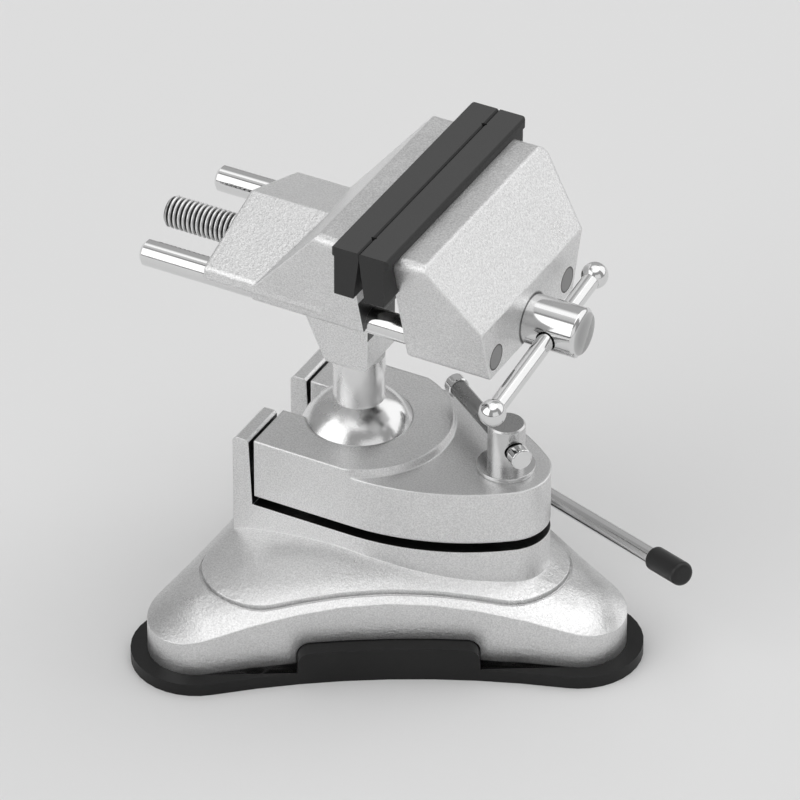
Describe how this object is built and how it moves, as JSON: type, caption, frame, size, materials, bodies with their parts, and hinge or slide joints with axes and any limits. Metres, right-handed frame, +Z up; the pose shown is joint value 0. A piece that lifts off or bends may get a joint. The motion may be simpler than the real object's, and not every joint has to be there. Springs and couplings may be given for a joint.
{
  "type": "suction base vise",
  "caption": "Small bench vise on a three-lobed suction foot: a clamped ball joint lets the head tilt and turn, and a screw opens soft-padded jaws.",
  "frame": {"origin": "on the bench, under the centre of the ball", "axes": "+X from the ball towards the clamp screw, the way the jaw opens; +Y towards the suction lever's pivot side; +Z up"},
  "size_m": [0.1364, 0.1228, 0.1215],
  "materials": {
    "cast_alloy": "sparkling silver paint over a sand-textured casting",
    "polished_steel": "polished bright plating",
    "plain_steel": "turned, oiled",
    "foot_rubber": "smooth black rubber",
    "pad_rubber": "matt dark grey rubber",
    "cap_plastic": "soft black dipped cap"
  },
  "bodies": {
    "foot": {"base_casting": "cast_alloy", "suction_pad": "foot_rubber"},
    "pull": {"pad_core_plate": "plain_steel", "pull_stud": "plain_steel"},
    "cam": {"cam_shaft": "plain_steel", "cam_shaft_clip": "plain_steel", "suction_lever": "polished_steel", "lever_grip": "cap_plastic"},
    "plate": {"clamp_plate": "cast_alloy"},
    "washer": {"clamp_washer": "polished_steel"},
    "tightener": {"clamp_screw": "polished_steel"},
    "tightener_bar": {"clamp_bar": "polished_steel", "clamp_bar_ends": "polished_steel"},
    "ball": {"ball_stud": "polished_steel"},
    "head": {"fixed_jaw": "cast_alloy", "stud_dowel": "plain_steel", "fixed_jaw_pad": "pad_rubber"},
    "slider": {"movable_jaw": "cast_alloy", "movable_jaw_pad": "pad_rubber", "guide_rods": "polished_steel"},
    "spindle": {"lead_screw": "plain_steel", "screw_clip": "plain_steel"},
    "spindle_bar": {"screw_bar": "polished_steel", "screw_bar_balls": "polished_steel"}
  },
  "joints": [
    {"name": "suction_lever_turn", "type": "hinge", "parent": "foot", "child": "cam", "pos_m": [0.0067, 0, 0.0134], "axis": [0.5, 0.866, 0], "range_deg": [0, 160]},
    {"name": "pad_pull", "type": "slide", "parent": "foot", "child": "pull", "axis": [0, 0, 1], "range_m": [0, 0.00279]},
    {"name": "clamp_screw_turn", "type": "hinge", "parent": "washer", "child": "tightener", "pos_m": [0.0395, 0, 0.05], "axis": [0, 0, 1], "range_deg": [0, 260]},
    {"name": "washer_lift", "type": "slide", "parent": "foot", "child": "washer", "axis": [0, 0, 1], "range_m": [0, 0.0009]},
    {"name": "plate_tilt", "type": "hinge", "parent": "foot", "child": "plate", "pos_m": [-0.0184, 0, 0.0379], "axis": [0, -1, 0], "range_deg": [0, 0.82]},
    {"name": "clamp_bar_slide", "type": "slide", "parent": "tightener", "child": "tightener_bar", "axis": [0.8121, -0.5835, 0], "range_m": [-0.0006, 0.0196]},
    {"name": "head_tilt", "type": "hinge", "parent": "foot", "child": "ball", "pos_m": [0, 0, 0.0412], "axis": [0, -1, 0], "range_deg": [-20, 75]},
    {"name": "head_turn", "type": "hinge", "parent": "ball", "child": "head", "pos_m": [0, 0, 0.07], "axis": [0, 0, 1], "continuous": true},
    {"name": "jaw_slide", "type": "slide", "parent": "head", "child": "slider", "axis": [1, 0, 0], "range_m": [0, 0.05]},
    {"name": "screw_turn", "type": "hinge", "parent": "slider", "child": "spindle", "pos_m": [0.05, 0, 0.0915], "axis": [1, 0, 0], "range_deg": [0, 14400]},
    {"name": "screw_bar_slide", "type": "slide", "parent": "spindle", "child": "spindle_bar", "axis": [0, 0.9907, 0.1357], "range_m": [-0.0099, 0.0234]}
  ],
  "couplings": [
    {"joint": "suction_lever_turn", "follows": "pad_pull", "rad_per_m": 1000},
    {"joint": "clamp_screw_turn", "follows": "washer_lift", "rad_per_m": 5026.5},
    {"joint": "plate_tilt", "follows": "washer_lift", "rad_per_m": 15.267},
    {"joint": "screw_turn", "follows": "jaw_slide", "rad_per_m": 5026.5}
  ]
}
